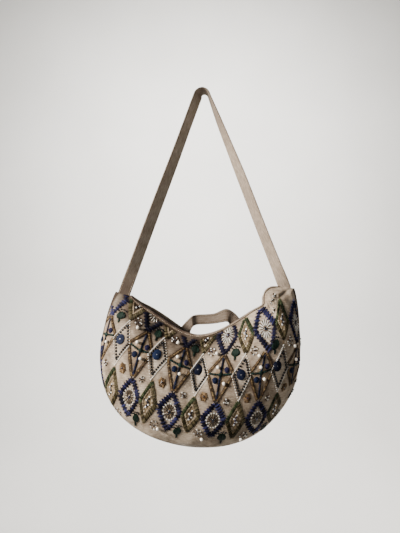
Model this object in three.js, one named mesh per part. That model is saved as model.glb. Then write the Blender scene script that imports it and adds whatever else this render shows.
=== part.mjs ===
// Embroidered half-moon shoulder bag of canvas, hanging by its strap.
// Millimetres, +Z up, embroidered front towards -Y.
// The origin is in the top of the strap's loop, where the bag hangs.
import * as THREE from 'three';

// Driving dimensions
const wall = 2.0;             // panel cloth with its backing
const gap = 0.3;              // sewing clearance between neighbouring pieces
const pipingRadius = 1.6;
const tape = 0.9;             // thickness of the mouth binding
const tapeDepth = 5.0;        // how far the binding reaches down the cloth
const strapWidth = 24;
const strapThick = 2.4;
const strapTail = 32;         // strap end sewn inside each corner
const hangRadius = 10;        // bend of the strap over its hanging point
const hangZ = -12.4;          // centre of that bend; the strap's twisted front edge stands higher
const handleThick = 2.4;
const pearlRadius = 3.2;
const bellyX = -5;            // centre that the rim is measured from
const bellyZ = -535;
const bellyAlong = 0.42;      // where the deepest point lies between mouth and rim
const seamStand = pipingRadius + gap;

// One row for each rib of the bag, from the left corner round to the right one.
// turn, reach: the rim seam about the belly centre, in degrees and mm
// lipX, lipZ: the front mouth edge; lip, belly: front depth there and at the belly
// rise: back mouth edge above the front one; backLip, backBelly: back depths
const ribs = [
  { turn: 142, reach: 214, lipX: -143, lipZ: -411, lip: 5.0, belly: 5.8, rise: 0, backLip: 5.0, backBelly: 5.8 },
  { turn: 160, reach: 202, lipX: -126, lipZ: -425, lip: 8, belly: 25, rise: 2, backLip: 6, backBelly: 12 },
  { turn: 178, reach: 200, lipX: -102, lipZ: -440, lip: 13, belly: 43, rise: 4, backLip: 9, backBelly: 20 },
  { turn: 197, reach: 200, lipX: -76, lipZ: -457, lip: 18, belly: 55, rise: 4, backLip: 12, backBelly: 26 },
  { turn: 215, reach: 195, lipX: -50, lipZ: -473, lip: 23, belly: 61, rise: 1, backLip: 15, backBelly: 30 },
  { turn: 233, reach: 185, lipX: -26, lipZ: -482, lip: 27, belly: 65, rise: -6, backLip: 17, backBelly: 32 },
  { turn: 251, reach: 177, lipX: -3, lipZ: -484, lip: 29, belly: 67, rise: -10, backLip: 18, backBelly: 33 },
  { turn: 270, reach: 175, lipX: 22, lipZ: -478, lip: 29, belly: 67, rise: -10, backLip: 18, backBelly: 33 },
  { turn: 288, reach: 179, lipX: 47, lipZ: -467, lip: 28, belly: 66, rise: -8, backLip: 17, backBelly: 32 },
  { turn: 306, reach: 184, lipX: 72, lipZ: -453, lip: 27, belly: 64, rise: -6, backLip: 16, backBelly: 31 },
  { turn: 324, reach: 187, lipX: 96, lipZ: -437, lip: 25, belly: 60, rise: -6, backLip: 14, backBelly: 29 },
  { turn: 342, reach: 192, lipX: 117, lipZ: -424, lip: 20, belly: 53, rise: -8, backLip: 12, backBelly: 26 },
  { turn: 361, reach: 196, lipX: 120, lipZ: -403, lip: 13, belly: 43, rise: -9, backLip: 9, backBelly: 20 },
  { turn: 379, reach: 206, lipX: 132, lipZ: -393, lip: 9, belly: 25, rise: -4, backLip: 6, backBelly: 12 },
  { turn: 397, reach: 231, lipX: 150, lipZ: -392, lip: 5.0, belly: 5.8, rise: 0, backLip: 5.0, backBelly: 5.8 },
];

// Soft dents and folds pressed into the front, by rib and share of the way down to the rim.
const dents = [
  { rib: 1.6, along: 0.52, across: 0.5, down: 0.3, depth: 3.0 },
  { rib: 3.1, along: 0.20, across: 1.2, down: 0.12, depth: 3.5 },
  { rib: 5.4, along: 0.80, across: 0.35, down: 0.2, depth: 2.4 },
  { rib: 7.5, along: 0.84, across: 0.3, down: 0.18, depth: 2.2 },
  { rib: 9.3, along: 0.80, across: 0.35, down: 0.2, depth: 2.4 },
  { rib: 11.5, along: 0.30, across: 0.4, down: 0.2, depth: 4.0 },
  { rib: 12.7, along: 0.42, across: 0.35, down: 0.3, depth: 3.5 },
];

// How far the strap has turned from edge-on to flat at each share of the way down a leg.
const leftTurn = [
  { fall: 0, turn: 42 }, { fall: 0.08, turn: 43 }, { fall: 0.2, turn: 45 }, { fall: 0.42, turn: 54 },
  { fall: 0.6, turn: 62 }, { fall: 0.85, turn: 67 }, { fall: 1, turn: 90 },
];
const rightTurn = [
  { fall: 0, turn: 4 }, { fall: 0.15, turn: 22 }, { fall: 0.28, turn: 32 }, { fall: 0.42, turn: 43 },
  { fall: 0.7, turn: 49 }, { fall: 0.9, turn: 58 }, { fall: 1, turn: 90 },
];
const strapLeft = new THREE.Vector3(-159.5, 0, -408);
const strapRight = new THREE.Vector3(163, 0, -395);
const leftTail = 19;          // lean of the sewn ends from upright, degrees
const rightTail = 5;

// Carry handle from its left sewn end over to its right one: centre, lean of its width, width.
// y is its depth, or null where it is sewn down on the cloth behind it.
const handleRows = [
  { x: -54, z: -513, lean: 148, width: 21, y: null },
  { x: -46, z: -497, lean: 144, width: 21, y: null },
  { x: -36, z: -480, lean: 139, width: 21, y: 8.5 },
  { x: -24, z: -464, lean: 100, width: 21, y: 4.5 },
  { x: -14, z: -459.5, lean: 92, width: 20.5, y: 8.5 },
  { x: 5, z: -458.5, lean: 90, width: 20.5, y: 9 },
  { x: 24, z: -456.5, lean: 97, width: 21, y: 7.5 },
  { x: 46, z: -450, lean: 93, width: 26, y: 3.5 },
  { x: 57, z: -457, lean: 68, width: 26, y: 6.5 },
  { x: 66, z: -469, lean: 52, width: 25, y: 8.5 },
  { x: 71, z: -488, lean: 32, width: 22, y: null },
  { x: 74, z: -504, lean: 22, width: 21, y: null },
];

// The larger pearls of the embroidery, by their front-view place.
const pearlPlaces = [
  { x: -126, z: -470 }, { x: -49, z: -499 }, { x: 25, z: -517 }, { x: 103, z: -518 },
  { x: -186, z: -498 }, { x: -125, z: -495 }, { x: -49, z: -523 }, { x: 26.5, z: -540.5 },
  { x: 105.5, z: -539 }, { x: 172, z: -504 },
  { x: -118, z: -524 }, { x: -45, z: -552 }, { x: 37, z: -569 }, { x: 112, z: -561 },
  { x: 174, z: -529 },
  { x: -87, z: -658 }, { x: -4, z: -677 }, { x: 70, z: -680.5 },
];

const canvas = () => new THREE.MeshStandardMaterial({ color: 0xc4b5a2, roughness: 0.92, metalness: 0 });
const shadeCanvas = () => new THREE.MeshStandardMaterial({ color: 0xa8988a, roughness: 0.92, metalness: 0 });
const strapCanvas = () => new THREE.MeshStandardMaterial({ color: 0xb0a193, roughness: 0.88, metalness: 0 });
const darkCord = () => new THREE.MeshStandardMaterial({ color: 0x3d3029, roughness: 0.85, metalness: 0 });
const pearl = () => new THREE.MeshStandardMaterial({ color: 0xf1efea, roughness: 0.25, metalness: 0 });

const model = new THREE.Group();

// Smooth value of one column of a table at a row position that need not be whole.
function between(rows, column, at) {
  const last = rows.length - 1;
  const i = Math.min(Math.max(Math.floor(at), 0), last - 1);
  const f = at - i;
  const p = [i - 1, i, i + 1, i + 2].map((k) => rows[Math.min(Math.max(k, 0), last)][column]);
  const a = 2 * p[1];
  const b = p[2] - p[0];
  const c = 2 * p[0] - 5 * p[1] + 4 * p[2] - p[3];
  const d = 3 * p[1] - p[0] - 3 * p[2] + p[3];
  return 0.5 * (a + b * f + c * f * f + d * f * f * f);
}

// Value of a turn table at a share of the fall.
function turnAt(rows, fall) {
  let k = 0;
  while (k < rows.length - 2 && rows[k + 1].fall < fall) k += 1;
  const f = (fall - rows[k].fall) / (rows[k + 1].fall - rows[k].fall);
  return THREE.MathUtils.degToRad(between(rows, 'turn', k + Math.min(f, 1)));
}

function rimPoint(rib) {
  const turn = THREE.MathUtils.degToRad(between(ribs, 'turn', rib));
  const reach = between(ribs, 'reach', rib);
  return new THREE.Vector3(bellyX + reach * Math.cos(turn), 0, bellyZ + reach * Math.sin(turn));
}

// Outward direction of the rim in its own plane.
function rimOut(rib) {
  const a = rimPoint(Math.max(rib - 0.05, 0));
  const b = rimPoint(Math.min(rib + 0.05, ribs.length - 1));
  const along = b.sub(a).normalize();
  return new THREE.Vector3(along.z, 0, -along.x);
}

function mouthPoint(rib, back) {
  const rise = back ? between(ribs, 'rise', rib) : 0;
  return new THREE.Vector3(between(ribs, 'lipX', rib), 0, between(ribs, 'lipZ', rib) + rise);
}

// Outer face of a panel: along runs from 0 at the mouth to 1 at the rim.
function panelPoint(rib, along, back) {
  const mouth = mouthPoint(rib, back);
  const rim = rimPoint(rib).addScaledVector(rimOut(rib), 0.7);
  const lip = between(ribs, back ? 'backLip' : 'lip', rib);
  const belly = between(ribs, back ? 'backBelly' : 'belly', rib);
  const flat = back ? 3.0 : 2.3;
  let depth = 0;
  if (along < bellyAlong) {
    const u = (bellyAlong - along) / bellyAlong;
    depth = belly + (lip - belly) * u * u;
  } else {
    const u = Math.min((along - bellyAlong) / (1 - bellyAlong), 1);
    depth = seamStand + (belly - seamStand) * Math.sqrt(Math.max(1 - u ** flat, 0));
  }
  if (!back) {
    const hold = Math.min(1, 8 * along) * Math.min(1, 6 * (1 - along));
    for (const dent of dents) {
      const a = (rib - dent.rib) / dent.across;
      const d = (along - dent.along) / dent.down;
      depth -= hold * dent.depth * Math.exp(-a * a - d * d);
    }
  }
  const point = mouth.lerp(rim, along);
  point.y = back ? depth : -depth;
  return point;
}

// Outward direction of a panel's face. At the rim it lies in the seam's own plane.
function panelOut(rib, along, back) {
  if (along > 0.999) return rimOut(rib);
  const top = ribs.length - 1;
  const ds = panelPoint(Math.min(rib + 0.04, top), along, back)
    .sub(panelPoint(Math.max(rib - 0.04, 0), along, back));
  const dt = panelPoint(rib, Math.min(along + 0.01, 0.999), back)
    .sub(panelPoint(rib, Math.max(along - 0.01, 0), back));
  const out = back ? ds.cross(dt) : dt.cross(ds);
  return out.normalize();
}

function ribLength(rib, back) {
  return mouthPoint(rib, back).distanceTo(rimPoint(rib));
}

// Shares of a rib where the cloth is divided: two close steps under the binding, finer to the rim.
function stepsDown(rib, back, count) {
  const first = Math.min(tapeDepth / ribLength(rib, back), 0.3);
  const steps = [0, first * 0.5, first];
  for (let k = 1; k <= count; k += 1) {
    const ease = 1 - (1 - k / count) ** 1.5;
    steps.push(first + (1 - first) * ease);
  }
  return steps;
}

// Rib positions shared by every piece that follows the mouth or the rim.
const ribSteps = [];
for (let i = 0; i < ribs.length - 1; i += 1) {
  for (let k = 0; k < 3; k += 1) ribSteps.push(i + k / 3);
}
ribSteps.push(ribs.length - 1);

// Closed solid through rings of points. Each ring goes out along one side and back along the other.
function loft(rings) {
  const size = rings[0].length;
  const half = size / 2;
  const positions = [];
  for (const ring of rings) for (const p of ring) positions.push(p.x, p.y, p.z);
  const index = [];
  for (let r = 0; r < rings.length - 1; r += 1) {
    for (let k = 0; k < size; k += 1) {
      const a = r * size + k;
      const b = r * size + ((k + 1) % size);
      index.push(a, b, b + size, a, b + size, a + size);
    }
  }
  const end = (rings.length - 1) * size;
  for (let k = 0; k < half - 1; k += 1) {
    const far = size - 1 - k;
    index.push(k, far, k + 1, k + 1, far, far - 1);
    index.push(end + k, end + k + 1, end + far, end + k + 1, end + far - 1, end + far);
  }
  let volume = 0;
  const v = (i) => new THREE.Vector3(positions[3 * i], positions[3 * i + 1], positions[3 * i + 2]);
  for (let i = 0; i < index.length; i += 3) {
    volume += v(index[i]).dot(v(index[i + 1]).cross(v(index[i + 2])));
  }
  if (volume < 0) {
    for (let i = 0; i < index.length; i += 3) {
      const swap = index[i + 1];
      index[i + 1] = index[i + 2];
      index[i + 2] = swap;
    }
  }
  const geometry = new THREE.BufferGeometry();
  geometry.setAttribute('position', new THREE.Float32BufferAttribute(positions, 3));
  geometry.setIndex(index);
  geometry.computeVertexNormals();
  return geometry;
}

function add(name, geometry, material) {
  const mesh = new THREE.Mesh(geometry, material);
  mesh.name = name;
  model.add(mesh);
}

function panelGeometry(back, count) {
  const rings = ribSteps.map((rib) => {
    const steps = stepsDown(rib, back, count);
    const outer = steps.map((along) => panelPoint(rib, along, back));
    const inner = steps.map((along, k) => outer[k].clone()
      .addScaledVector(panelOut(rib, along, back), -wall));
    return outer.concat(inner.reverse());
  });
  return loft(rings);
}

// Tape folded over the mouth edge, a clearance away from the cloth on both sides.
function bindingGeometry(back) {
  const rings = ribSteps.map((rib) => {
    const steps = stepsDown(rib, back, 8).slice(0, 3);
    const face = steps.map((along) => panelPoint(rib, along, back));
    const out = steps.map((along) => panelOut(rib, along, back));
    const up = face[0].clone().sub(face[1]).normalize();
    const at = (k, side, lift) => face[k].clone().addScaledVector(out[k], side).addScaledVector(up, lift);
    const near = gap;
    const far = gap + tape;
    const outside = [at(2, far, 0), at(1, far, 0), at(0, far, far)];
    outside.push(at(0, -wall - far, far), at(1, -wall - far, 0), at(2, -wall - far, 0));
    const inside = [at(2, -wall - near, 0), at(1, -wall - near, 0), at(0, -wall - near, near)];
    inside.push(at(0, near, near), at(1, near, 0), at(2, near, 0));
    return outside.concat(inside);
  });
  return loft(rings);
}

function pipingGeometry() {
  const sides = 8;
  const rings = ribSteps.map((rib) => {
    const centre = rimPoint(rib);
    const out = rimOut(rib);
    const ring = [];
    for (let k = 0; k < sides; k += 1) {
      const turn = (2 * Math.PI * (k + 0.5)) / sides;
      const p = centre.clone().addScaledVector(out, pipingRadius * Math.cos(turn));
      p.y += pipingRadius * Math.sin(turn);
      ring.push(p);
    }
    return ring;
  });
  return loft(rings);
}

// Flat band: near and far face of each station, divided once across the width.
function bandRing(centre, width, thick) {
  const w = width.clone();
  const t = thick.clone();
  const ring = [-1, 0, 1].map((k) => centre.clone().addScaledVector(w, k).add(t));
  const back = [1, 0, -1].map((k) => centre.clone().addScaledVector(w, k).sub(t));
  return ring.concat(back);
}

// Lean of a strap leg from upright, tangent to the bend over the hanging point.
function legLean(anchor) {
  const radius = hangRadius + strapThick / 2;
  const across = Math.abs(anchor.x);
  const down = hangZ - anchor.z;
  return Math.atan2(across, down) - Math.asin(radius / Math.hypot(across, down));
}

function strapGeometry() {
  const radius = hangRadius + strapThick / 2;
  const rings = [];
  const leg = (anchor, side, turns, falls, tailLean) => {
    const lean = legLean(anchor);
    const top = new THREE.Vector3(side * radius * Math.cos(lean), 0, radius * Math.sin(lean) + hangZ);
    const down = new THREE.Vector3(side * Math.sin(lean), 0, -Math.cos(lean));
    const length = anchor.distanceTo(top);
    const inward = new THREE.Vector3(-side * Math.cos(lean), 0, -Math.sin(lean));
    const near = new THREE.Vector3(0, -1, 0);
    const made = falls.map((fall) => {
      const turn = turnAt(turns, fall);
      const centre = top.clone().addScaledVector(down, length * fall);
      const width = near.clone().multiplyScalar(Math.cos(turn)).addScaledVector(inward, -Math.sin(turn));
      const face = inward.clone().multiplyScalar(Math.cos(turn)).addScaledVector(near, Math.sin(turn));
      return bandRing(centre, width.multiplyScalar(strapWidth / 2), face.multiplyScalar(strapThick / 2));
    });
    const tail = THREE.MathUtils.degToRad(tailLean);
    const end = anchor.clone();
    end.add(new THREE.Vector3(side * Math.sin(tail), 0, -Math.cos(tail)).multiplyScalar(strapTail));
    const across = new THREE.Vector3(side * Math.cos(tail), 0, Math.sin(tail));
    made.push(bandRing(end, across.multiplyScalar(strapWidth / 2), near.multiplyScalar(strapThick / 2)));
    return made;
  };
  const falls = [0, 0.03, 0.07, 0.12, 0.18, 0.25, 0.32, 0.4, 0.48, 0.56, 0.64, 0.72, 0.8, 0.87, 0.92, 0.96];
  falls.push(0.985, 1);
  rings.push(...leg(strapLeft, -1, leftTurn, falls, leftTail).reverse());
  const from = Math.PI - legLean(strapLeft);
  const to = legLean(strapRight);
  const bends = 16;
  for (let k = 1; k < bends; k += 1) {
    const turn = from + ((to - from) * k) / bends;
    const twist = turnAt(rightTurn, 0) + (turnAt(leftTurn, 0) - turnAt(rightTurn, 0)) * (1 - k / bends) ** 1.65;
    const inward = new THREE.Vector3(-Math.cos(turn), 0, -Math.sin(turn));
    const near = new THREE.Vector3(0, -1, 0);
    const centre = inward.clone().multiplyScalar(-radius);
    centre.z += hangZ;
    const width = near.clone().multiplyScalar(Math.cos(twist)).addScaledVector(inward, -Math.sin(twist));
    const face = inward.clone().multiplyScalar(Math.cos(twist)).addScaledVector(near, Math.sin(twist));
    rings.push(bandRing(centre, width.multiplyScalar(strapWidth / 2), face.multiplyScalar(strapThick / 2)));
  }
  rings.push(...leg(strapRight, 1, rightTurn, falls, rightTail));
  return loft(rings);
}

// Rib and share of the way down at which a panel passes a front-view place.
function placeOnPanel(x, z, back) {
  let best = { rib: 7, along: 0.5 };
  let near = Infinity;
  let span = { rib: 7, along: 0.5 };
  for (let round = 0; round < 9; round += 1) {
    const centre = { ...best };
    for (let i = -8; i <= 8; i += 1) {
      for (let k = -8; k <= 8; k += 1) {
        const rib = Math.min(Math.max(centre.rib + (span.rib * i) / 8, 0), ribs.length - 1);
        const along = Math.min(Math.max(centre.along + (span.along * k) / 8, 0), 0.99);
        const p = panelPoint(rib, along, back);
        const away = Math.hypot(p.x - x, p.z - z);
        if (away < near) {
          near = away;
          best = { rib, along };
        }
      }
    }
    span = { rib: span.rib * 0.4, along: span.along * 0.4 };
  }
  return best;
}

// Front face of the cloth that the handle's ends are sewn to.
function backInside(x, z) {
  const place = placeOnPanel(x, z, true);
  const outer = panelPoint(place.rib, place.along, true);
  return outer.y - wall / panelOut(place.rib, place.along, true).y;
}

function handleGeometry() {
  const rows = handleRows.map((row) => {
    const lean = THREE.MathUtils.degToRad(row.lean);
    const side = new THREE.Vector3(Math.cos(lean), 0, Math.sin(lean)).multiplyScalar(row.width / 2);
    let y = row.y;
    if (y === null) {
      const ends = [-1, 0, 1].map((k) => backInside(row.x + k * side.x, row.z + k * side.z));
      y = Math.min(...ends) - 2 * gap - handleThick / 2;
    }
    return { x: row.x, y, z: row.z, sx: side.x, sz: side.z };
  });
  const rings = [];
  const parts = 3;
  for (let i = 0; i <= (rows.length - 1) * parts; i += 1) {
    const at = i / parts;
    const centre = new THREE.Vector3(between(rows, 'x', at), between(rows, 'y', at), between(rows, 'z', at));
    const side = new THREE.Vector3(between(rows, 'sx', at), 0, between(rows, 'sz', at));
    rings.push(bandRing(centre, side, new THREE.Vector3(0, -handleThick / 2, 0)));
  }
  return loft(rings);
}

function pearlGeometry(place) {
  const spot = placeOnPanel(place.x, place.z, false);
  const stand = pearlRadius + 0.1;
  const at = panelPoint(spot.rib, spot.along, false)
    .addScaledVector(panelOut(spot.rib, spot.along, false), stand);
  const geometry = new THREE.SphereGeometry(pearlRadius, 10, 6);
  geometry.translate(at.x, at.y, at.z);
  return geometry;
}

add('front_panel', panelGeometry(false, 14), canvas());
add('back_panel', panelGeometry(true, 10), shadeCanvas());
add('edge_piping', pipingGeometry(), darkCord());
add('front_mouth_binding', bindingGeometry(false), shadeCanvas());
add('back_mouth_binding', bindingGeometry(true), shadeCanvas());
add('shoulder_strap', strapGeometry(), strapCanvas());
add('carry_handle', handleGeometry(), strapCanvas());
pearlPlaces.forEach((place, i) => {
  add(`pearl_${String(i + 1).padStart(2, '0')}`, pearlGeometry(place), pearl());
});

export default model;
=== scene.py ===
import math
import random
from functools import partial

import bpy
import numpy as np
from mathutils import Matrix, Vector
from mathutils.bvhtree import BVHTree
from mathutils.kdtree import KDTree


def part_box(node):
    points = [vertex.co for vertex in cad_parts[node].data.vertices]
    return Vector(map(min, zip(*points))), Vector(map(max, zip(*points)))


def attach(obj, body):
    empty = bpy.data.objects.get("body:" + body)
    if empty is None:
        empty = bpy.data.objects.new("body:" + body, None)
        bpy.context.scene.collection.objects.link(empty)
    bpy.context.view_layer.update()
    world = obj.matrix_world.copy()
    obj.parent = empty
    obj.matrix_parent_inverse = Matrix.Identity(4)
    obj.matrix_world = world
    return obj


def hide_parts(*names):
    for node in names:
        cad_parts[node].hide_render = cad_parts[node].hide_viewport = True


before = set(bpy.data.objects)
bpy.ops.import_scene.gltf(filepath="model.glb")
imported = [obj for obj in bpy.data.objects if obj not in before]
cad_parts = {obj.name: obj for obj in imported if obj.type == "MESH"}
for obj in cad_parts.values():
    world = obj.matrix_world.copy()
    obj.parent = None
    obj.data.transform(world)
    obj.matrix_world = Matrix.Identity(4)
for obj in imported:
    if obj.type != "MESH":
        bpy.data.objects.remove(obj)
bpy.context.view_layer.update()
mm = 0.001
sewing = random.Random(11)      # hand-sewn unevenness, the same on every run
anyTurn = (0, 6.28)
print("frame loaded:", len(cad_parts), "nodes")


def deselect():
    bpy.ops.object.select_all(action="DESELECT")


def setMode(mode):
    bpy.ops.object.mode_set(mode=mode)


# camera: square on to the bag, about 0.9 m away
view = {"place": (-7, -900, -352), "pixelsPerUnit": 450, "halfHeight": 266.5, "sensor": 24, "nearest": 0.01}
deselect()
bpy.ops.object.camera_add(location=[v * mm for v in view["place"]], rotation=(math.pi / 2, 0, 0))
camera = bpy.context.object
camera.data.sensor_fit = "VERTICAL"
camera.data.sensor_height = view["sensor"]
camera.data.lens = view["sensor"] / 2 * view["pixelsPerUnit"] / view["halfHeight"]
camera.data.clip_start = view["nearest"]
bpy.context.scene.camera = camera


def hexColour(text):
    # sRGB hex to the linear colour that the shaders take
    parts = [int(text[i:i + 2], 16) / 255 for i in (1, 3, 5)]
    return [p / 12.92 if p <= 0.04045 else ((p + 0.055) / 1.055) ** 2.4 for p in parts] + [1.0]


def setInputs(node, inputs):
    # a socket given as an input is linked, anything else is set as its value
    for name, value in inputs.items():
        if isinstance(value, bpy.types.NodeSocket):
            node.id_data.links.new(value, node.inputs[name])
        else:
            node.inputs[name].default_value = value


def addNode(tree, kind, inputs=None, stops=(), **settings):
    # stops are a ramp's (place, hex colour) pairs; its own two ends are reused
    made = tree.nodes.new("ShaderNode" + kind)
    for name, value in settings.items():
        setattr(made, name, value)
    setInputs(made, inputs or {})
    marks = made.color_ramp.elements if stops else []
    while len(marks) < len(stops):
        marks.new(0.5)
    for mark, (place, colour) in zip(marks, stops):
        mark.position = place
        mark.color = hexColour(colour)
    return made.outputs


def startMaterial(name, **values):
    # a new material, the way to add its nodes, its shader and the piece's own coordinates
    material = bpy.data.materials.new(name)
    material.use_nodes = True
    add = partial(addNode, material.node_tree)
    shader = material.node_tree.nodes["Principled BSDF"]
    setInputs(shader, {socket.replace("_", " "): value for socket, value in values.items()})
    return material, add, shader, add("TexCoord")["Object"]


waveRepeat = 0.31416        # metres from band to band of a wave texture at scale 1


def cottonCanvas(name, look):
    # unbleached cotton canvas, plain woven: matt and slubby, darker between the threads,
    # stained in patches, grimy where hands and edges touch, and darker with painted shade in folds and
    # turned-away places
    material, add, shader, place = startMaterial(name, Roughness=0.9, Specular_IOR_Level=0.2)
    gap = look["thread"] * mm       # drawn wider than the real 0.7 mm so that it shows
    uv = add("UVMap", uv_map="UVMap")["UV"]
    bands = {"Vector": uv, "Scale": waveRepeat / gap, "Distortion": 0.6, "Detail": 1.0, "Detail Scale": 0.4}
    warp, weft = (add("TexWave", bands, bands_direction=way)["Fac"] for way in "XY")
    over = add("TexChecker", {"Vector": uv, "Scale": 1 / gap})["Fac"]
    weave = add("Mix", {"Factor": over, "A": warp, "B": weft})["Result"]
    drawn = add("Mapping", {"Vector": uv, "Scale": (90, 620, 1)})["Vector"]     # slubs 11 by 1.6 mm
    slub = add("TexNoise", {"Vector": drawn, "Scale": 1.0, "Detail": 3.0})["Fac"]
    stops = [(0.3, look["dark"]), (0.52, look["mid"]), (0.72, look["light"])]
    colour = add("ValToRGB", {"Fac": slub}, stops)["Color"]
    # stains about 26 mm wide
    cloud = add("TexNoise", {"Vector": place, "Scale": 38, "Detail": 5, "Roughness": 0.6})["Fac"]
    stains = {"Value": cloud, "From Min": 0.4, "From Max": 0.64, "To Max": look["stain"]}
    stained = add("MapRange", stains)["Result"]
    hollow = add("MapRange", {"Value": weave, "From Max": 0.55, "To Min": 0.42, "To Max": 0})["Result"]
    wearAndShade = add("Attribute", attribute_name="wearAndShade")["Fac"]
    for share, darkerKey in ((stained, "darkening"), (hollow, "darkening"), (wearAndShade, "grimeAndShade")):
        darkerMix = {"Factor": share, "A": colour, "B": hexColour(look[darkerKey])}
        colour = add("Mix", darkerMix, data_type="RGBA")["Result"]
    if look.get("tinted"):
        tint = add("Attribute", attribute_name="tint")
        tinted = {"Factor": tint["Alpha"], "A": colour, "B": tint["Color"]}
        colour = add("Mix", tinted, data_type="RGBA", blend_type="MULTIPLY")["Result"]
    high = add("Math", {0: weave, 1: slub}, operation="ADD")["Value"]
    bump = add("Bump", {"Height": high, "Strength": 0.55, "Distance": 0.6 * mm})["Normal"]
    setInputs(shader, {"Base Color": colour, "Normal": bump})
    return material


def tonedCoat(name, stops, grain, detail, mottle, relief, depth, gloss=0.0, **values):
    # thread, glass, lacquer or paint: coloured by each copy's own tone and by a fine mottle,
    # which also gives a slight relief and, on glass, an uneven gloss; grain and depth in mm
    material, add, shader, place = startMaterial(name, **values)
    tone = add("Attribute", attribute_name="tone")["Fac"]
    spots = add("TexNoise", {"Vector": place, "Scale": 1 / (grain * mm), "Detail": detail})["Fac"]
    mixed = add("Math", {0: spots, 1: mottle, 2: tone}, operation="MULTIPLY_ADD")["Value"]
    colour = add("ValToRGB", {"Fac": mixed}, stops)["Color"]
    bump = add("Bump", {"Height": spots, "Strength": relief, "Distance": depth * mm})["Normal"]
    setInputs(shader, {"Base Color": colour, "Normal": bump})
    if gloss:
        spread = {"Value": spots, "To Min": gloss * 0.7, "To Max": gloss * 1.5}
        setInputs(shader, {"Roughness": add("MapRange", spread)["Result"]})
    return material


def twistedCord(name, look):
    # piping of cloth drawn over a twisted cord: dark, matt, with slanting ridges
    material, add, shader, place = startMaterial(name, Roughness=0.82, Specular_IOR_Level=0.25)
    uv = add("UVMap", uv_map="UVMap")["UV"]
    slant = add("Mapping", {"Vector": uv, "Rotation": (0, 0, math.radians(look["slant"]))})["Vector"]
    ridges = {"Vector": slant, "Scale": waveRepeat / (look["ridge"] * mm), "Distortion": 0.4}
    ridge = add("TexWave", ridges)["Fac"]
    rub = add("TexNoise", {"Vector": place, "Scale": 60, "Detail": 4})["Fac"]       # rubbed places 17 mm long
    worn = add("Math", {0: ridge, 1: 0.5, 2: rub}, operation="MULTIPLY_ADD")["Value"]
    stops = [(0.35, look["dark"]), (0.75, look["mid"]), (1.0, look["light"])]
    colour = add("ValToRGB", {"Fac": worn}, stops)["Color"]
    bump = add("Bump", {"Height": ridge, "Strength": 0.6, "Distance": 0.5 * mm})["Normal"]
    setInputs(shader, {"Base Color": colour, "Normal": bump})
    return material


finishes = {
    # each canvas's grime colour is mixed in both for real grime and for painted shade
    "embroideredCanvas": cottonCanvas("EmbroideredCottonCanvas", {
        "thread": 1.5, "dark": "#a3968a", "mid": "#c6b9ab", "light": "#e4dacf", "darkening": "#5f5145",
        "grimeAndShade": "#2b2019", "stain": 0.68, "tinted": True}),
    "plainCanvas": cottonCanvas("PlainCottonCanvas", {
        "thread": 1.5, "dark": "#8f8072", "mid": "#a99a8b", "light": "#bdafa1", "darkening": "#726354",
        "grimeAndShade": "#3d2f26", "stain": 0.3}),
    "strapCanvas": cottonCanvas("StrapCottonCanvas", {
        "thread": 1.3, "dark": "#968778", "mid": "#b0a191", "light": "#c6b7a7", "darkening": "#7a6a5a",
        "grimeAndShade": "#3a2d25", "stain": 0.3}),
    "pipingCord": twistedCord("BrownPipingCord", {
        "ridge": 2.2, "slant": 38, "dark": "#140e0b", "mid": "#261c16", "light": "#41332a"}),
    # imitation pearl: creamy, with a cloudy lustre under a clear coat
    "pearl": tonedCoat("LacqueredPearl", [(0.3, "#dccfbd"), (0.5, "#f3ece0"), (0.7, "#fffdf8")], 3, 3, 1,
                       0.08, 0.2, Roughness=0.22, IOR=1.5, Coat_Weight=0.6, Coat_Roughness=0.08),
    # painted studio sweep: matt, almost even, slightly mottled
    "sweep": tonedCoat("PaleStudioSweep", [(0.3, "#dedbd5"), (0.7, "#e6e3dd")], 1000 / 1.5, 3, 1, 0, 0.2,
                       Roughness=0.95),
}
# pressed glass and foil beads, with bright hard highlights: dark and light tone, and how rough
glass = {
    "whiteBead": ("WhiteSeedBeadGlass", "#d8d2c6", "#ffffff", 0.2, {"IOR": 1.52, "Coat_Weight": 0.4}),
    "blackBead": ("BlackSeedBeadGlass", "#050506", "#0e0d10", .35, {"IOR": 1.52, "Specular_IOR_Level": .25}),
    "goldBead": ("AmberSeedBeadGlass", "#4a3320", "#8a6a45", 0.2, {"IOR": 1.52}),
    "silverBugle": ("SilverLinedBugleGlass", "#b9b5ac", "#fffdf6", 0.2, {"IOR": 1.52, "Metallic": 0.15}),
    "darkBugle": ("SmokedBugleGlass", "#0e0c0d", "#352c2a", 0.22, {"IOR": 1.52}),
    "sequin": ("SilverSequinFoil", "#d8d5d0", "#ffffff", 0.16, {"Metallic": 0.35}),
    "stone": ("DarkFacetedStone", "#0d0c14", "#2c2738", 0.1, {"IOR": 1.6}),
}
for kind, (name, dark, light, rough, values) in glass.items():
    finishes[kind] = tonedCoat(name, [(0, dark), (1, light)], 1.5, 1, 0, 0.12, 0.2, rough, **values)
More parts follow.
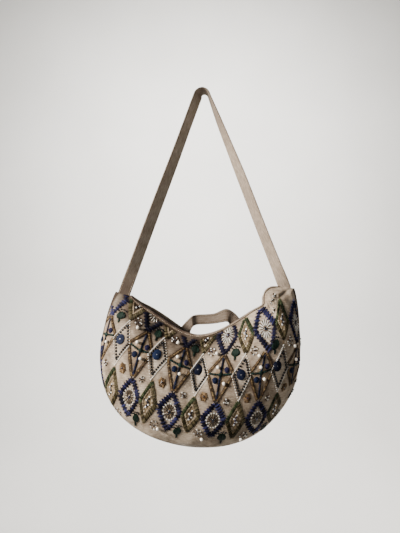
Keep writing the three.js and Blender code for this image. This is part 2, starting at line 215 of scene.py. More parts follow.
# stranded cottons, softly glossy: dark, middle and light tone, and how rough the seam's thread is
cottons = {
    "blueSatin": ("#07060d", "#161529", "#36375f"), "navyLine": ("#07080f", "#101322", "#20253c"),
    "rosetteBlue": ("#080b18", "#10162b", "#1d2a47"), "violetBlue": ("#0b0a18", "#17152e", "#2b2a4c"),
    "leafGreen": ("#10150c", "#293120", "#4b523a"), "mossGreen": ("#171309", "#352e1d", "#5d5540"),
    "budGreen": ("#050d0a", "#0c1a14", "#182c23"), "crossGreen": ("#09120f", "#11211e", "#20342f"),
    "oliveGold": ("#2a2015", "#55442e", "#806c4c"), "flowerGold": ("#2a1e13", "#55422d", "#866e50"),
    "brownLine": ("#170e09", "#2f2016", "#4b3729"), "tanThread": ("#43372a", "#7a6c58", "#ab9c88"),
    "seamThread": ("#6f5d4c", "#a08d79", "#c4b5a2", 0.6),
}
for kind, (dark, mid, light, *rough) in cottons.items():
    name = kind[0].upper() + kind[1:].removesuffix("Thread") + "Thread"
    finishes[kind] = tonedCoat(name, [(0.15, dark), (0.6, mid), (1, light)], 1.2, 2, 0.35, 0.4, 0.3,
                               Roughness=rough[0] if rough else 0.55, Specular_IOR_Level=0.08)
print("materials made:", len(finishes))

# the bag's form: one row for each rib from the left corner round to the right one, in mm and degrees
bag = {
    "columns": ("turn", "reach", "lipX", "lipZ", "lip", "belly", "rise", "backLip", "backBelly"),
    "ribs": [
        (142, 214, -143, -411, 5, 5.8, 0, 5, 5.8), (160, 202, -126, -425, 8, 25, 2, 6, 12),
        (178, 200, -102, -440, 13, 43, 4, 9, 20), (197, 200, -76, -457, 18, 55, 4, 12, 26),
        (215, 195, -50, -473, 23, 61, 1, 15, 30), (233, 185, -26, -482, 27, 65, -6, 17, 32),
        (251, 177, -3, -484, 29, 67, -10, 18, 33), (270, 175, 22, -478, 29, 67, -10, 18, 33),
        (288, 179, 47, -467, 28, 66, -8, 17, 32), (306, 184, 72, -453, 27, 64, -6, 16, 31),
        (324, 187, 96, -437, 25, 60, -6, 14, 29), (342, 192, 117, -424, 20, 53, -8, 12, 26),
        (361, 196, 120, -403, 13, 43, -9, 9, 20), (379, 206, 132, -393, 9, 25, -4, 6, 12),
        (397, 231, 150, -392, 5, 5.8, 0, 5, 5.8)],
    "bellyX": -5, "bellyZ": -535, "bellyAlong": 0.42, "seamStand": 1.9, "rimStand": 0.7,
    "roundness": (2.3, 3.0), "cloth": 2.0, "gap": 0.3,
    # dents of the front: rib, share of the way down, how wide and tall, how deep
    "dents": [(1.6, .52, .5, .3, 3), (3.1, .2, 1.2, .12, 3.5), (5.4, .8, .35, .2, 2.4),
              (7.5, .84, .3, .18, 2.2), (9.3, .8, .35, .2, 2.4), (11.5, .3, .4, .2, 4),
              (12.7, .42, .35, .3, 3.5)],
    # creases of the front: from x, z to x, z, how wide, how deep
    "creases": [(150, -412, 172, -396, 4, 2.6), (118, -424, 150, -440, 7, 1.6),
                (160, -440, 176, -500, 8, 2.2), (-150, -420, -176, -450, 6, 1.8),
                (-78, -468, -34, -520, 24, 4), (60, -490, 40, -560, 20, 2.2), (6, -480, -14, -565, 24, 9.5)],
    # rows of small folds: height, folds a rib, two sways, how far from the seam, how far they spread
    "puckers": (0.7, 13.5, 1.7, 2.1, 18, 10), "rimFolds": (1.5, 6.1, 1.1, 1.7, 16, 16), "backSag": 1.8,
}
ribColumn = {name: np.array([row[i] for row in bag["ribs"]], float) for i, name in enumerate(bag["columns"])}
lastRib = len(bag["ribs"]) - 1


def smoothColumn(values, at):
    # a smooth curve through the rows of a table
    values = np.asarray(values, float)
    at = np.asarray(at, float)
    i = np.clip(np.floor(at).astype(int), 0, len(values) - 2)
    f = at - i
    p = [values[np.clip(i + k, 0, len(values) - 1)] for k in (-1, 0, 1, 2)]
    return 0.5 * (2 * p[1] + (p[2] - p[0]) * f + (2 * p[0] - 5 * p[1] + 4 * p[2] - p[3]) * f ** 2
                  + (3 * p[1] - p[0] - 3 * p[2] + p[3]) * f ** 3)


def ribValue(name, rib):
    return smoothColumn(ribColumn[name], rib)


def unit(v):
    return v / np.maximum(np.linalg.norm(v, axis=-1, keepdims=True), 1e-12)


def runLengths(points):
    # the way along a row of points to each of them
    return np.concatenate([[0], np.cumsum(np.linalg.norm(np.diff(points, axis=0), axis=1))])


def smoothStep(v, low, high):
    t = np.clip((v - low) / (high - low), 0, 1)
    return t * t * (3 - 2 * t)


def rimPoints(rib):
    turn, reach = np.radians(ribValue("turn", rib)), ribValue("reach", rib)
    x, z = bag["bellyX"] + reach * np.cos(turn), bag["bellyZ"] + reach * np.sin(turn)
    return np.stack([x, 0 * x, z], -1)


def rimOutward(rib):
    near = 0.05
    t = unit(rimPoints(np.minimum(rib + near, lastRib)) - rimPoints(np.maximum(rib - near, 0)))
    return np.stack([t[..., 2], 0 * t[..., 0], -t[..., 0]], -1)


def mouthPoints(rib, back):
    z = ribValue("lipZ", rib) + (ribValue("rise", rib) if back else 0)
    x = ribValue("lipX", rib)
    return np.stack([x, 0 * x, z], -1)


def ribLengths(rib, back):
    return np.linalg.norm(rimPoints(rib) - mouthPoints(rib, back), axis=-1)


def softFolds(rib, along, x, z, back):
    # puckers under the binding, soft folds above the rim seam and the cloth's own unevenness
    long = ribLengths(rib, back)
    down, up = along * long, (1 - along) * long
    rise = 0
    for away, row in ((down, bag["puckers"]), (up, bag["rimFolds"])):
        high, often, sway, slow, middle, spread = row
        wave = high * np.sin(rib * often + sway * np.sin(rib * slow))
        rise = rise + wave * np.exp(-((away - middle) / spread) ** 2)
    uneven = 0.6 * np.sin(x / 13 + 1.6 * np.sin(z / 21)) * np.sin(z / 17 + 1.3 * np.sin(x / 29))
    uneven = uneven + 1.3 * np.sin(x / 24 + 0.5 * np.sin(z / 30) + 0.35) * np.sin(z / 55 + x / 90 + 0.8)
    sag = bag["backSag"] * np.sin(rib * 1.9 + 0.6) * np.exp(-((along - 0.55) / 0.3) ** 2) if back else 0
    return smoothStep(down, 8, 24) * smoothStep(up, 1.5, 14) * (rise + uneven + sag)


def panelPoints(rib, along, back, folded=False):
    # outer face of a panel, along 0 at the mouth and 1 at the rim
    rib, along = np.broadcast_arrays(np.asarray(rib, float), np.asarray(along, float))
    rim = rimPoints(rib) + bag["rimStand"] * rimOutward(rib)
    lip, belly = (ribValue(name, rib) for name in (("backLip", "backBelly") if back else ("lip", "belly")))
    middle, stand = bag["bellyAlong"], bag["seamStand"]
    high = np.clip((middle - along) / middle, 0, 1)
    low = np.clip((along - middle) / (1 - middle), 0, 1)
    below = stand + (belly - stand) * np.sqrt(np.maximum(1 - low ** bag["roundness"][back], 0))
    depth = np.where(along < middle, belly + (lip - belly) * high ** 2, below)
    point = mouthPoints(rib, back) * (1 - along[..., None]) + rim * along[..., None]
    x, z = point[..., 0], point[..., 2]
    if not back:
        hold = np.minimum(1, 8 * along) * np.minimum(1, 6 * (1 - along))
        for dentRib, dentAlong, wide, tall, deep in bag["dents"]:
            a = (rib - dentRib) / wide
            d = (along - dentAlong) / tall
            depth = depth - hold * deep * np.exp(-a * a - d * d)
    if folded:
        depth = depth + softFolds(rib, along, x, z, back)
    if folded and not back:
        hold = smoothStep(along * ribLengths(rib, back), 8, 20) * smoothStep(1 - along, 0.01, 0.08)
        for fromX, fromZ, toX, toZ, wide, deep in bag["creases"]:
            runX, runZ = toX - fromX, toZ - fromZ
            t = np.clip(((x - fromX) * runX + (z - fromZ) * runZ) / (runX ** 2 + runZ ** 2), 0, 1)
            away = np.hypot(x - fromX - t * runX, z - fromZ - t * runZ)
            depth = depth - hold * deep * np.exp(-(away / wide) ** 2)
    point[..., 1] = depth if back else -depth
    return point


def panelOutward(rib, along, back):
    nearRib, nearAlong, end = 0.04, 0.01, 0.999
    ds = (panelPoints(np.minimum(rib + nearRib, lastRib), along, back)
          - panelPoints(np.maximum(rib - nearRib, 0), along, back))
    dt = (panelPoints(rib, np.minimum(along + nearAlong, end), back)
          - panelPoints(rib, np.maximum(along - nearAlong, 0), back))
    out = unit(np.cross(ds, dt) if back else np.cross(dt, ds))
    return np.where((along > end)[..., None], rimOutward(rib), out)


def bentGrid(name, points, uv):
    # a flat grid is added, then each of its points is moved to its place; points are (rows, columns, 3) in mm
    rows, columns = points.shape[:2]
    deselect()
    bpy.ops.mesh.primitive_grid_add(x_subdivisions=columns - 1, y_subdivisions=rows - 1, size=1)
    piece = bpy.context.object
    piece.name = piece.data.name = name
    mesh = piece.data
    flat = np.empty(len(mesh.vertices) * 3)
    mesh.vertices.foreach_get("co", flat)
    flat = flat.reshape(-1, 3)
    i = np.rint((flat[:, 1] + 0.5) * (rows - 1)).astype(int)
    k = np.rint((flat[:, 0] + 0.5) * (columns - 1)).astype(int)
    mesh.vertices.foreach_set("co", (points[i, k] * mm).ravel())
    corner = np.empty(len(mesh.loops), int)
    mesh.loops.foreach_get("vertex_index", corner)
    mesh.uv_layers[0].name = "UVMap"
    mesh.uv_layers[0].data.foreach_set("uv", (uv[i[corner], k[corner]] * mm).ravel())
    mesh.update()
    return piece, i, k


def addAttribute(mesh, name, values, kind="FLOAT"):
    made = mesh.attributes.new(name, kind, "POINT")
    made.data.foreach_set("value" if kind == "FLOAT" else "color", np.asarray(values, float).ravel())


def applyModifier(piece, kind, **settings):
    modifier = piece.modifiers.new(kind.title(), kind)
    for name, value in settings.items():
        setattr(modifier, name, value)
    bpy.context.view_layer.objects.active = piece
    bpy.ops.object.modifier_apply(modifier=modifier.name)


def openForEdit(piece):
    # the piece alone in edit mode, selected all over
    deselect()
    piece.select_set(True)
    bpy.context.view_layer.objects.active = piece
    setMode("EDIT")
    bpy.ops.mesh.select_all(action="SELECT")


def faceOut(piece):
    # doubles merged, open ends filled, every face turned outwards
    openForEdit(piece)
    bpy.ops.mesh.remove_doubles(threshold=0.00001)
    bpy.ops.mesh.select_all(action="DESELECT")
    bpy.ops.mesh.select_non_manifold(extend=False, use_wire=False, use_multi_face=False,
                                     use_non_contiguous=False, use_verts=False)
    bpy.ops.mesh.edge_face_add()
    bpy.ops.mesh.select_all(action="SELECT")
    bpy.ops.mesh.normals_make_consistent(inside=False)
    setMode("OBJECT")
    bpy.ops.object.shade_smooth()


def finishPiece(piece, finish, node=None):
    piece.data.materials.clear()
    piece.data.materials.append(finishes[finish])
    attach(piece, "root")
    if node:
        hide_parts(node)


# mouth bindings: tape folded over the cut edge of each panel, narrower towards the right
binding = {"leftDepth": 4.2, "rightDepth": 2.2, "tape": 0.9, "puff": 0.35, "crown": 0.4, "steps": 252,
           "around": 34, "shares": (1.0, 0.8, 0.55, 0.3, 0.06), "stitchAt": 0.8, "stitch": 2.6, "pitch": 3.6,
           "thread": (0.9, 0.7), "lift": 0.1}


def bindingDepth(rib):
    return binding["leftDepth"] + (binding["rightDepth"] - binding["leftDepth"]) * smoothStep(rib, 6.5, 8.5)


# panels: front and back shells of the half moon
panel = {
    # darkening: along the rim seam, a little grime along the mouth, painted shade under the mouth's left
    # half, and soil with painted shade beside the raised work
    "ribSteps": 252, "downSteps": 92, "crowd": 1.6, "thick": 1.8, "rimDarkening": 0.95, "rimSpread": 4.5,
    "mouthSoil": 0.12, "leftMouthShade": 0.66, "workSoilAndShade": 0.4, "workSpread": 3.2, "mostDarkening": 0.97,
    # painted shade in places on the front, where folds and flanks turn from the light: x, z, half width, half
    # height in mm, and how much
    "darkening": [(158, -403, 8, 7, .55), (-9, -518, 14, 30, .25), (64, -590, 30, 34, .45), (62, -515, 14, 20, .3),
             (0, -580, 14, 24, .25), (-181, -552, 16, 50, .22), (-171, -466, 14, 25, .22),
             (-148, -452, 12, 14, .3)],
}
trees = {}


def panelPiece(name, back):
    rib = np.linspace(0, lastRib, panel["ribSteps"] + 1)
    ease = 1 - (1 - np.linspace(0, 1, panel["downSteps"] + 1)) ** panel["crowd"]
    along, ribs = np.meshgrid(ease, rib, indexing="ij")
    points = panelPoints(ribs, along, back, True)
    x, z = points[..., 0], points[..., 2]
    up = z - bag["bellyZ"]
    # the weave runs closer where the cloth turns away
    uv = np.stack([x * (1 + 0.16 * (x / 190) ** 2), up * (1 + 0.2 * (up / 160) ** 2)], -1)
    piece, i, k = bentGrid(name, points, uv)
    down = along * ribLengths(ribs, back)
    up = (1 - along) * ribLengths(ribs, back)
    # dark along the rim seam, a little grime all along the mouth, and painted shade under the left half of
    # the mouth
    wearAndShade = panel["rimDarkening"] * np.exp(-(up / panel["rimSpread"]) ** 2)
    if not back:
        left = 1 - smoothStep(ribs, 7, 9.5)
        much = panel["mouthSoil"] + panel["leftMouthShade"] * left
        wearAndShade = wearAndShade + much * (1 - smoothStep(down, 18 * left, 8 + 60 * left))
        # painted shade patches on the front
        for patchX, patchZ, wide, tall, much in panel["darkening"]:
            wearAndShade = wearAndShade + much * np.exp(-((x - patchX) / wide) ** 2 - ((z - patchZ) / tall) ** 2)
    addAttribute(piece.data, "wearAndShade", wearAndShade[i, k])
    faces = [tuple(f.vertices) for f in piece.data.polygons]
    verts = [v.co.copy() for v in piece.data.vertices]
    edge = np.minimum(down - 0.2 - bindingDepth(ribs), up - 2.4)[i, k]      # room left for sewing
    trees[back] = (BVHTree.FromPolygons(verts, faces), faces, edge)
    return piece


def castOn(back, x, z):
    # where a line straight in from the front, or from behind, meets a panel; x and z in metres
    start, way = (0.5, -1) if back else (-0.5, 1)
    return trees[back][0].ray_cast(Vector((x, start, z)), Vector((0, way, 0)))


def solidPanel(piece, back):
    # cloth thickness grows inwards from the outer face
    openForEdit(piece)
    bpy.ops.mesh.normals_make_consistent(inside=False)
    setMode("OBJECT")
    middle = piece.data.polygons[len(piece.data.polygons) // 2]
    if (middle.normal.y > 0) != back:
        setMode("EDIT")
        bpy.ops.mesh.flip_normals()
        setMode("OBJECT")
    applyModifier(piece, "SOLIDIFY", thickness=panel["thick"] * mm, offset=-1.0, use_even_offset=False)
    bpy.ops.object.shade_smooth()


frontCanvas = panelPiece("front_canvas", False)
backCanvas = panelPiece("back_canvas", True)
print("panels bent:", len(frontCanvas.data.vertices), "points each")

# embroidery chart: columns of motifs across the front, even ones start with a blue diamond, odd with a green.
# Each row of drape says where a column hangs on the panel, in mm seen from the front:
# the middles of its top, middle and low motif.
chart = {
    "first": -6, "columnPitch": 40.8, "rowPitch": 83.0,
    "columns": ("topX", "topZ", "midX", "midZ", "lowX", "lowZ"),
    "drape": [
        (-168, -411, -191, -491, -204, -569), (-127, -428, -156, -494, -178, -588),
        (-91, -448, -121, -516, -140, -598), (-61, -467, -83, -524, -105, -605),
        (-23, -480, -46, -543, -64, -623), (7, -487, -9, -555, -25, -629),
        (47, -484, 30, -560, 17, -639), (80, -481, 70, -557, 59, -640),
        (117, -470, 106, -557, 100, -640), (150, -454, 143, -546, 134, -624),
        (179, -462, 172, -546, 161, -602)],
    # how far the top row is pulled over sideways at its tips, column by column
    "lean": [0, 0, 0, 0, 0, 0, 0, -3, -4, -4, -3],
    # motifs drawn up or let out by the cloth: how much across and upwards, moved sideways in mm, leaning
    "fit": {(-4, 1): (1.15, 1, -2, 0), (2, 1): (1.1, 1.1, 0, -0.24), (3, 1): (1, 0.82, 0, 0),
            (4, 1): (1, 0.9, 0, 0), (-3, 0): (1.08, 1.03, -4.5, 0), (1, 0): (1.05, 1.06, 0, 0),
            (3, 0): (1.1, 1, 0, 0)},
}
drapeColumn = {name: [row[i] for row in chart["drape"]] for i, name in enumerate(chart["columns"])}


def chartPlace(column, row):
    # front-view x and z of a chart place; past the end columns it runs on straight
    at = column - chart["first"]
    inside = min(max(at, 0), len(chart["drape"]) - 1)
    made = []
    for axis in "XZ":
        levels = []
        for level in ("top", "mid", "low"):
            values = drapeColumn[level + axis]
            slope = values[1] - values[0] if at < 0 else values[-1] - values[-2]
            levels.append(float(smoothColumn(values, inside)) + (at - inside) * slope)
        top, mid, low = levels
        bend = (top + low) / 2 - mid
        made.append(mid + row * (top - low) / 2 + bend * row * row)
    if row > 0.1:
        made[0] += float(smoothColumn(chart["lean"], inside)) * math.sin(math.pi * min(row - 1, 0.45) / 0.9)
    return made


def onCloth(motif, across=0.0, up=0.0):
    # point on the front cloth and its outward normal, or None where the cloth ends
    wide, tall, moved, lean = chart["fit"].get(motif, (1, 1, 0, 0))
    across, up = across * wide + moved + lean * up * tall, up * tall
    x, z = chartPlace(motif[0] + across / chart["columnPitch"], motif[1] + up / chart["rowPitch"])
    hit, normal, index, _ = castOn(False, x * mm, z * mm)
    _, faces, edge = trees[False]
    if hit is None or edge[list(faces[index])].min() < 0:
        return None
    return hit, (normal if normal.y < 0 else -normal)


sewn = {}       # kind of stitch or bead: list of (origin, three axes, tone)


def lay(kind, origin, axes, tone=None):
    sewn.setdefault(kind, []).append((origin, axes, sewing.uniform(0.0, 0.8) if tone is None else tone))


def stitch(kind, motif, start, end, width, height, tone=None):
    # one thread from start to end, in mm on the motif
    half = [(p + q) / 2 for p, q in zip(start, end)]
    a = onCloth(motif, *start) or onCloth(motif, *half)
    b = onCloth(motif, *end) or onCloth(motif, *half)
    if a is None or b is None:
        return
    run = b[0] - a[0]
    if not 0.3 * mm < run.length < 30 * mm:
        return
    up = (a[1] + b[1]).normalized()
    side = up.cross(run).normalized()
    up = run.cross(side).normalized()
    height = height * mm
    middle = (a[0] + b[0]) / 2 + up * height * 0.25
    lay(kind, middle, (run, side * width * mm, up * height), tone)


def barStitch(kind, motif, spot, reach, lean, *thread):
    # a thread across an outline at one of its places, leaning along it
    a, b, na, nb = spot
    stitch(kind, motif, (a - na * reach + nb * lean, b - nb * reach - na * lean),
           (a + na * reach - nb * lean, b + nb * reach + na * lean), *thread)


def bead(kind, motif, place, size, lift=0.32, tall=0.85, tone=None, stretch=None):
    # a bead or disc on the cloth, turned at random; lift, tall and stretch are shares of its size
    found = onCloth(motif, *place)
    if found is None:
        return
    up = found[1]
    turn = sewing.uniform(*anyTurn)
    flat = up.orthogonal().normalized()
    x = flat * math.cos(turn) + up.cross(flat) * math.sin(turn)
    if stretch:
        # longer up the chart than across it
        above = onCloth(motif, place[0], place[1] + 1)
        if above is not None:
            x = (above[0] - found[0]).cross(up).normalized()
    axes = (x * size * mm, up.cross(x) * size * (stretch or 1) * mm, up * size * tall * mm)
    lay(kind, found[0] + up * size * lift * mm, axes, tone)


def outline(w, h, bulge, step, shift=0.0):
    # places round a diamond with rounded sides, each with its outward direction; shift lifts the side corners
    t = np.linspace(0, 2 * np.pi, 721)
    a = w * np.sign(np.cos(t)) * np.abs(np.cos(t)) ** (2 / bulge)
    b = h * np.sign(np.sin(t)) * np.abs(np.sin(t)) ** (2 / bulge)
    b = b + shift * (1 - np.abs(b) / h)
    run = np.concatenate([[0], np.cumsum(np.hypot(np.diff(a), np.diff(b)))])
    count = max(int(round(run[-1] / step)), 8)
    s = np.arange(count) * run[-1] / count
    a, b = np.interp(s, run, a), np.interp(s, run, b)
    da, db = np.gradient(a), np.gradient(b)
    da[0], db[0] = a[1] - a[-1], b[1] - b[-1]
    da[-1], db[-1] = a[0] - a[-2], b[0] - b[-2]
    size = np.maximum(np.hypot(da, db), 1e-9)
    return list(zip(a, b, db / size, -da / size))


def aroundCircle(count, first=0.0):
    # the number of each place round a circle of radius 1, and its two coordinates
    for i in range(count):
        turn = first + 2 * math.pi * i / count
        yield i, math.cos(turn), math.sin(turn)


# sizes of every motif are in mm; a thread is (width, height)
blueMotif = {
    "halfWidth": 19.6, "topHeight": 37.0, "lowHeight": 34.5, "topBulge": 1.04, "lowBulge": 1.1, "step": 1.5,
    "reach": 3.8, "tooth": 2.6, "teeth": (0, 0, 1, 0.9), "uneven": 0.2, "lean": 0.5, "thread": (1.8, 1.3),
    "toothRise": 0.8, "burst": (13.8, 18.0), "rays": 15, "rayStart": 0.3, "ray": (1.5, 1.2),
    # kinds of ray by turns, and how far out they reach
    "topRays": ("silverBugle", "brownLine", 0.84), "lowRays": ("tanThread", "darkBugle", 0.74),
    "tip": 0.84, "tipBead": 2.3, "stone": 6.4, "ring": 7, "ringReach": (3.9, 4.9), "ringBead": 2.2,
    "light": 0.8, "dark": {(-4, 1): 0.25, (-2, 1): 0.25, (0, 1): 0.5},      # painted shade: tones kept dark under the mouth's left half
    "bare": (-6, 1),        # the one in the left corner has no burst
}


def blueDiamond(motif):
    m = blueMotif
    level = "top" if motif[1] > 0 else "low"
    wide, high = m["thread"]
    border = outline(m["halfWidth"], m[level + "Height"], m[level + "Bulge"], m["step"])
    for i, spot in enumerate(border):
        # four threads to a tooth: two short ones, then two long
        tooth = m["teeth"][i % 4]
        reach = m["reach"] + m["tooth"] * tooth + sewing.uniform(-m["uneven"], m["uneven"])
        # the diamonds under the mouth's left half get dark tones only: painted shade
        tone = sewing.uniform(0, m["dark"].get(motif, m["light"]))
        barStitch("blueSatin", motif, spot, reach, m["lean"], wide, high + m["toothRise"] * tooth, tone)
    if motif == m["bare"]:
        return
    w, h = m["burst"]
    bright, dark, far = m[level + "Rays"]
    near, tip = m["rayStart"], m["tip"]
    for i, a, b in aroundCircle(2 * m["rays"], math.pi / 2 / m["rays"]):
        kind = bright if i % 2 else dark
        stitch(kind, motif, (a * w * near, b * h * near), (a * w * far, b * h * far), *m["ray"])
        if i % 2 and level == "low":
            bead("whiteBead", motif, (a * w * tip, b * h * tip), m["tipBead"])
    bead("stone", motif, (0, 0), m["stone"], 0.2, 0.5, stretch=1.25)
    w, h = m["ringReach"]
    for i, a, b in aroundCircle(m["ring"]):
        bead("blackBead" if i % 2 else "goldBead", motif, (w * a, h * b), m["ringBead"])


greenMotif = {
    "halfWidth": 15.2, "topHeight": 36.5, "lowHeight": 35, "bulge": 1.06, "step": 1.5, "reach": 3.6,
    "longer": 0.8, "lean": 1.5, "thread": (1.9, 1.4), "inset": (5.4, 12.5), "insetStep": 1.4,
    "insetReach": 1.9, "insetThread": (1.7, 1.0), "stones": ((0, 0, 5.2), (0.6, 6.2, 4.2), (-0.6, -6.0, 4.0)),
    "sequins": ((-2.9, 3.0), (2.6, -3.4), (-1.6, -8.8), (1.8, 10.0)), "sequin": 3.3,
}


def greenDiamond(motif):
    m = greenMotif
    top = motif[1] > 0
    high = m["topHeight" if top else "lowHeight"]
    for i, spot in enumerate(outline(m["halfWidth"], high, m["bulge"], m["step"])):
        a, b = spot[:2]
        lean = m["lean"] if (a > 0) == (b > 0) else -m["lean"]
        reach = m["reach"] + (m["longer"] if i % 3 == 1 else 0)
        kind = "leafGreen" if b > -4 and (a < 2 or top) else "mossGreen"
        barStitch(kind, motif, spot, reach, lean, *m["thread"])
    across, up = m["inset"]
    for spot in outline(m["halfWidth"] - across, high - up, m["bulge"], m["insetStep"]):
        barStitch("tanThread", motif, spot, m["insetReach"], 0, *m["insetThread"])
    for a, b, size in m["stones"]:
        bead("stone", motif, (a, b), size, 0.2, 0.5, stretch=1.3)
    for place in m["sequins"]:
        bead("sequin", motif, place, m["sequin"], 0.35, 0.5)


def rosette(kind, motif, place, radius, tall=0.2, tone=0.5):
    # a wound disc, with a sequin on the large ones
    bead(kind, motif, place, 2 * radius, 0.0, tall, tone, 1.2)
    if radius > 8:
        bead("sequin", motif, (place[0], place[1] + 0.5), 1.7, 1.3, 0.3)


dottedMotif = {
    "halfWidth": 18.2, "halfHeight": 43.5, "bulge": 1.0, "shift": 3.0, "bead": 2.0, "beadStep": 2.6,
    "inset": (4.2, 10.08), "dot": 4.8, "dotStep": 5.3, "disc": 9.4,
    # where each column's rosette sits, and its tone
    "discs": {-5: (-3.7, 2, 0.5), -3: (-2.5, 4.8, 0.65), -1: (-4.4, 9, 0.15), 1: (-1.5, 3.8, 0.35),
              3: (-6.5, 8, 0.2)},
}


def dottedDiamond(motif):
    m = dottedMotif
    w, h, shift = m["halfWidth"], m["halfHeight"], m["shift"]
    for i, (a, b, *_) in enumerate(outline(w, h, m["bulge"], m["beadStep"], shift)):
        # a closed line of beads on two sides, spaced beads on the others
        if a * (b - shift) < 0 or i % 2:
            bead("whiteBead", motif, (a, b), m["bead"])
    across, up = m["inset"]
    for a, b, *_ in outline(w - across, h - up, m["bulge"], m["dotStep"], shift):
        bead("blackBead", motif, (a, b), m["dot"], 0.2, 0.6)
    *place, tone = m["discs"][motif[0]]
    rosette("rosetteBlue", motif, place, m["disc"], tone=tone)


kiteMotif = {
    "halfWidth": 22.3, "halfHeight": 43, "corner": 7.0, "step": 2.6, "apart": 2.6, "topApart": 2.2,
    "line": (2.0, 1.3), "cordHeight": 1.8, "couched": 0.95, "cordWidth": 1.6,
    # upright and bar: how many threads, how far short of the tips, half slant, length
    "upright": (28, 4, 1.1, 3.8), "uprightThread": (5.0, 1.9),
    "bar": (13, 1, 0.6, 3.4), "barThread": (4.6, 2.0), "knot": 9.0,
    # wound discs: kind, across, up from the bar, radius
    "discs": (("violetBlue", 10.5, 8.5, 5.2), ("rosetteBlue", -8.6, -12, 5.6)),
}


def crossKite(motif):
    m = kiteMotif
    w, h, c = m["halfWidth"], m["halfHeight"], m["corner"]
    corners = [(0, h), (w, c), (0, -h), (-w, c), (0, h)]
    for (a0, b0), (a1, b1) in zip(corners, corners[1:]):
        length = math.hypot(a1 - a0, b1 - b0)
        ta, tb = (a1 - a0) / length, (b1 - b0) / length
        count = int(length / m["step"])
        apart = m["apart"] if b0 + b1 < 0 else m["topApart"]
        for i in range(count):
            # gold cord couched between two brown lines
            s0, s1 = length * i / count, length * (i + m["couched"]) / count
            for row, kind in enumerate(("brownLine", "oliveGold", "brownLine")):
                pa, pb = a0 - tb * row * apart, b0 + ta * row * apart
                thread = (m["cordWidth"] * apart, m["cordHeight"]) if row == 1 else m["line"]
                stitch(kind, motif, (pa + ta * s0, pb + tb * s0), (pa + ta * s1, pb + tb * s1), *thread)
    count, short, slant, long = m["upright"]
    for i in range(count):
        b0 = h - short - 2 * (h - short) * i / count
        stitch("navyLine", motif, (-slant, b0), (slant, b0 - long), *m["uprightThread"])
    count, short, slant, long = m["bar"]
    for i in range(count):
        a0 = -w + short + 2 * (w - short) * i / count
        stitch("crossGreen", motif, (a0, c - slant), (a0 + long, c + slant), *m["barThread"])
    bead("crossGreen", motif, (0, c), m["knot"], 0.1, 0.4)
    for kind, across, up, radius in m["discs"]:
        rosette(kind, motif, (across, c + up), radius, 0.3)


budMotif = {
    "halfWidth": 7.8, "round": 8.8, "halfHeight": 8.6, "threads": 13, "thread": (2.5, 2.2), "narrow": 0.8,
    "spike": 1.2, "stem": 3, "stemFrom": 8, "stemStep": 2.2, "stemLong": 3.4, "stemThread": (5.0, 1.6),
    "dots": ((-7.6, 8.0), (-3.4, 11.2), (1.4, 12.2), (6.0, 10.2)), "dot": 3.6,
}


def bud(motif):
    # satin leaf bud with a short stem and a crown of dark dots
    m = budMotif
    for i in range(m["threads"]):
        a = -m["halfWidth"] + 2 * m["halfWidth"] * i / (m["threads"] - 1)
        high = m["halfHeight"] * math.sqrt(max(1 - (a / m["round"]) ** 2, 0.05))
        spike = m["spike"] if i % 4 == 2 else 0
        stitch("budGreen", motif, (a, -high), (a * m["narrow"], high + spike), *m["thread"])
    wide, high = m["stemThread"]
    for i in range(m["stem"]):
        b = -m["stemFrom"] - m["stemStep"] * i
        stitch("budGreen", motif, (0.3, b), (-0.3, b - m["stemLong"]), wide - 0.6 * i, high)
    for place in m["dots"]:
        bead("blackBead", motif, place, m["dot"])


ringMotif = {"kinds": ("silverBugle", "brownLine", "brownLine", "sequin", "darkBugle"), "bead": 2.6,
             # in the middle: kind, size, share of the radius away
             "middle": (("stone", 3.2, 0), ("brownLine", 2.8, 0.4), ("sequin", 2.4, 0.5))}


def beadRing(motif, radius=6.2, count=12):
    m = ringMotif
    for i, a, b in aroundCircle(count, sewing.uniform(*anyTurn)):
        bead(m["kinds"][i % 5], motif, (radius * a, radius * 1.2 * b), m["bead"])
    for kind, size, share in m["middle"]:
        turn = sewing.uniform(*anyTurn)
        away = share * radius
        bead(kind, motif, (away * math.cos(turn), away * math.sin(turn)), size, 0.3, 0.5)


flowerMotif = {"petals": 18, "from": (2.6, 2.8), "to": (7.0, 8.8), "longer": 1.18, "thread": (2.6, 1.5),
               "ring": 7, "ringReach": (2.7, 3.0), "ringBead": 2.4, "stone": 3.6}


def goldFlower(motif):
    m = flowerMotif
    (w0, h0), (w1, h1), (w2, h2) = m["from"], m["to"], m["ringReach"]
    for i, a, b in aroundCircle(m["petals"]):
        far = 1.0 if i % 3 else m["longer"]
        stitch("flowerGold", motif, (w0 * a, h0 * b), (w1 * far * a, h1 * far * b), *m["thread"])
    for i, a, b in aroundCircle(m["ring"]):
        bead("goldBead", motif, (w2 * a, h2 * b), m["ringBead"])
    bead("stone", motif, (0, 0), m["stone"])


curlMotif = {"kinds": ("darkBugle", "brownLine", "silverBugle"), "beads": 9, "bead": 2.8, "radius": 4.5,
             "shrink": 0.06, "sweep": 3.6,
             # by the right corner: chart place and where the curl starts
             "places": (((2.45, 1.42), 0.6), ((2.62, 1.52), 2.4), ((2.5, 1.26), 4.2))}


def curl(motif, start):
    m = curlMotif
    for i in range(m["beads"]):
        turn = start + m["sweep"] * i / (m["beads"] - 1)
        r = m["radius"] * (1 - m["shrink"] * i)
        bead(m["kinds"][i % 3], motif, (r * math.cos(turn), r * math.sin(turn)), m["bead"])


# small work beside each blue column: columns across, row, and a smaller ring's radius and beads
smallWork = ((bud, 0.52, 0.585), (bud, 0.52, -1.42), (beadRing, -0.60, 0.60), (beadRing, -0.54, -1.40),
             (goldFlower, -0.58, -0.48), (beadRing, 0.46, -0.55, 4.2, 8))
for column in range(-6, 5):
    blue = column % 2 == 0
    for row in (1, 0, -1):
        if row == 0:
            (crossKite if blue else dottedDiamond)((column, row))
        elif row == 1 or -6 < column < 4:
            (blueDiamond if blue else greenDiamond)((column, row))
    for sew, across, row, *size in smallWork if blue else ():
        sew((column + across, row), *size)

